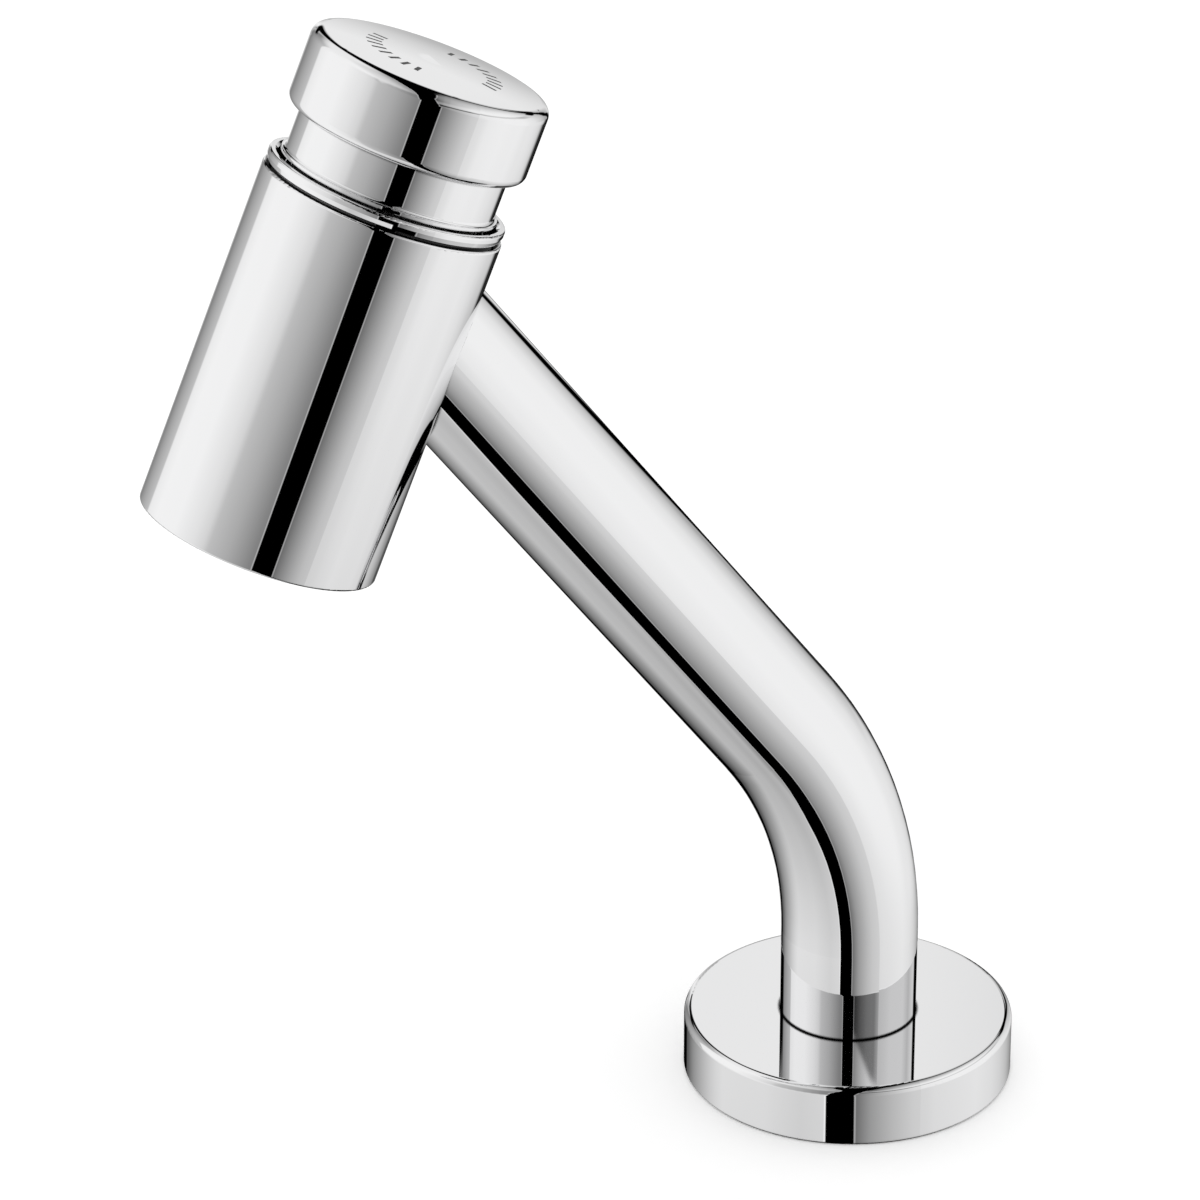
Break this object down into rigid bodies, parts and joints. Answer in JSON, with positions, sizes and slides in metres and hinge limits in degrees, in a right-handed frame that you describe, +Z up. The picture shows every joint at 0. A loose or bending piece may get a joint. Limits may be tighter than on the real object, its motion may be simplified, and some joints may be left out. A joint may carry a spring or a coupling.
{
  "type": "push timed tap",
  "caption": "Deck-mounted self-closing basin tap: a slanting spout tube on a round flange carries a cylindrical head with a push button on top and an aerated outlet below.",
  "frame": {"origin": "the deck plane under the flange, on the axis of the riser and of the threaded shank", "axes": "+Z up out of the deck along the riser; the spout reaches towards -Y; X across, the tap is symmetric about X = 0"},
  "size_m": [0.0612, 0.1652, 0.2802],
  "materials": {
    "chrome": "mirror-polished chrome plate on brass",
    "brass": "machined, bare",
    "steel": "bright stainless",
    "rubber": "matt black nitrile",
    "acetal": "off-white moulded acetal",
    "grey_plastic": "grey moulded plastic",
    "black_enamel": "black infill of the engraved ticks"
  },
  "bodies": {
    "tap_body": {"flange": "chrome", "base_gasket": "rubber", "spout_tube": "chrome", "threaded_shank": "brass", "shank_o_ring": "rubber", "inlet_filter": "grey_plastic", "head_body": "chrome", "trim_ring": "chrome", "gland": "brass", "stem_o_ring": "rubber", "gland_body_o_ring": "rubber", "gland_sleeve_o_ring": "rubber", "timing_screw": "steel", "cartridge_sleeve": "acetal", "sleeve_gasket": "rubber", "return_spring": "steel", "aerator_gasket": "rubber", "aerator_housing": "chrome", "aerator_insert": "grey_plastic", "flow_regulator": "acetal"},
    "plunger": {"button": "chrome", "button_marks": "black_enamel", "stem": "steel", "piston": "brass", "piston_cup_seal": "rubber", "backing_washer": "steel", "circlip": "steel", "valve_spool": "brass", "valve_seal": "rubber", "valve_screw": "steel"},
    "clamp_washers": {"rubber_washer": "rubber", "steel_washer": "steel"},
    "lock_nut": {"lock_nut": "brass"}
  },
  "joints": [
    {"name": "push", "type": "slide", "parent": "tap_body", "child": "plunger", "axis": [0, -0.3827, -0.9239], "range_m": [0, 0.006], "stiffness_N_per_m": 2500, "springref_m": -0.004, "deforming": ["return_spring"]},
    {"name": "clamp_slide", "type": "slide", "parent": "tap_body", "child": "clamp_washers", "axis": [0, 0, 1], "range_m": [-0.014, 0.018]},
    {"name": "nut_turn", "type": "hinge", "parent": "clamp_washers", "child": "lock_nut", "pos_m": [0, 0, 0], "axis": [0, 0, 1], "range_deg": [-2760, 3560]}
  ],
  "couplings": [
    {"joint": "clamp_slide", "follows": "nut_turn", "m_per_rad": 0.00028871}
  ]
}
